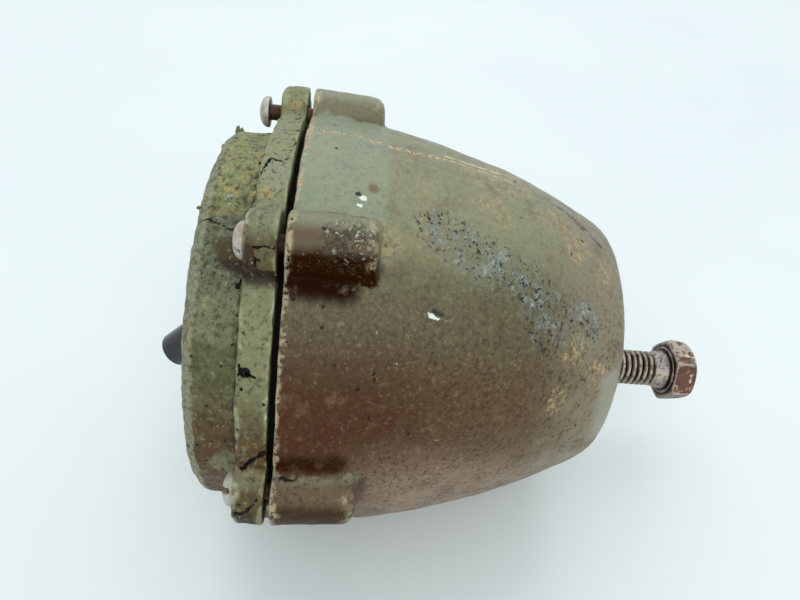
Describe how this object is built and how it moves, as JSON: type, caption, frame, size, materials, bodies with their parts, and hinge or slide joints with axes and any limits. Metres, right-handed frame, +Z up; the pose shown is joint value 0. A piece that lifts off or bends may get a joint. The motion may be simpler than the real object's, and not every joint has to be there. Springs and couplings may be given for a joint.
{
  "type": "ship engine telegraph",
  "caption": "Bracket-mounted ship engine telegraph: domed cast casing with joint lugs, dial bezel, slanted handle, order and reply pointers, and a bolt out of the back.",
  "frame": {"origin": "centre of the flat mounting pad at the back of the casing, on the instrument's axis", "axes": "+Y along the axis out of the back, so the dial and handle face -Y; +Z up, midway between two joint lugs; +X to the right of someone who faces the dial"},
  "size_m": [0.147, 0.1913, 0.1312],
  "materials": {
    "casing_paint": "worn olive enamel on a rough cast aluminium shell",
    "bezel_paint": "thick cracked olive enamel on cast aluminium",
    "gasket_rubber": "matt",
    "rusty_steel": "bare steel with rust on the head",
    "screw_paint": "screw heads with rubbed pale paint",
    "window_glass": "clear",
    "brass": "turned, dull",
    "bronze": "turned bearing bronze",
    "felt": "greased felt",
    "hub_enamel": "gloss black enamel",
    "grip_black": "polished black moulding",
    "steel": "turned steel",
    "dial_enamel": "cream enamel with dark divisions",
    "order_red": "red enamel",
    "reply_black": "black enamel",
    "chassis_plate": "sheet aluminium",
    "synchro_case": "turned aluminium",
    "laminations": "stacked sheet",
    "brown_moulding": "phenolic moulding",
    "lamp_glass": "frosted",
    "wire_insulation": "soft insulation"
  },
  "bodies": {
    "casing": {"casing": "casing_paint", "joint_gasket": "gasket_rubber", "mounting_bolt": "rusty_steel", "bezel": "bezel_paint", "bezel_screws": "screw_paint", "window_glass": "window_glass", "window_seal": "gasket_rubber", "window_ring": "brass", "window_ring_screws": "brass", "window_bush": "brass", "bush_washers": "gasket_rubber", "bush_nut": "brass", "shaft_packing": "felt", "packing_nut": "brass", "dial_plate": "dial_enamel", "dial_posts": "brass", "dial_screws": "brass", "front_plate": "chassis_plate", "rear_plate": "chassis_plate", "plate_pillars": "steel", "pillar_screws": "steel", "chassis_screws": "steel", "front_bearing": "bronze", "rear_bearing": "bronze", "synchro_screws": "steel", "stop_pins": "steel", "index_housing": "brass", "index_spring": "steel", "index_cap": "brass", "lamp_holder": "brass", "lamp_bulb": "lamp_glass", "terminal_block": "brown_moulding", "terminal_screws": "brass", "inner_screws": "steel", "inner_wiring": "wire_insulation", "gland_body": "brass", "gland_seal": "gasket_rubber", "gland_nut": "brass", "transmitter_case": "synchro_case", "transmitter_stator": "laminations", "transmitter_cap": "brown_moulding", "receiver_case": "synchro_case", "receiver_stator": "laminations", "receiver_cap": "brown_moulding"},
    "handle": {"handle_hub": "hub_enamel", "handle_stem": "steel", "handle_grip": "grip_black", "handle_pin": "steel", "handle_shaft": "steel", "order_pointer": "order_red", "order_gear": "brass", "index_wheel": "steel"},
    "reply": {"reply_tube": "brass", "reply_pointer": "reply_black", "reply_gear": "brass"},
    "transmitter_rotor": {"transmitter_rotor": "steel", "transmitter_pinion": "steel"},
    "receiver_rotor": {"receiver_rotor": "steel", "receiver_pinion": "steel"},
    "index_plunger": {"index_plunger": "steel"}
  },
  "joints": [
    {"name": "handle_turn", "type": "hinge", "parent": "casing", "child": "handle", "pos_m": [0, 0, 0], "axis": [0, 1, 0], "range_deg": [-120, 120]},
    {"name": "reply_turn", "type": "hinge", "parent": "casing", "child": "reply", "pos_m": [0, 0, 0], "axis": [0, 1, 0], "range_deg": [-120, 120]},
    {"name": "transmitter_spin", "type": "hinge", "parent": "casing", "child": "transmitter_rotor", "pos_m": [0.03007, 0, -0.01094], "axis": [0, 1, 0], "range_deg": [-361, 361]},
    {"name": "receiver_spin", "type": "hinge", "parent": "casing", "child": "receiver_rotor", "pos_m": [-0.03007, 0, -0.01094], "axis": [0, 1, 0], "range_deg": [-361, 361]},
    {"name": "plunger_lift", "type": "slide", "parent": "casing", "child": "index_plunger", "axis": [0, 0, 1], "range_m": [0, 0.0015], "stiffness_N_per_m": 600, "springref_m": -0.003, "deforming": ["index_spring"]}
  ],
  "couplings": [
    {"joint": "transmitter_spin", "follows": "handle_turn", "ratio": -3},
    {"joint": "receiver_spin", "follows": "reply_turn", "ratio": -3}
  ]
}
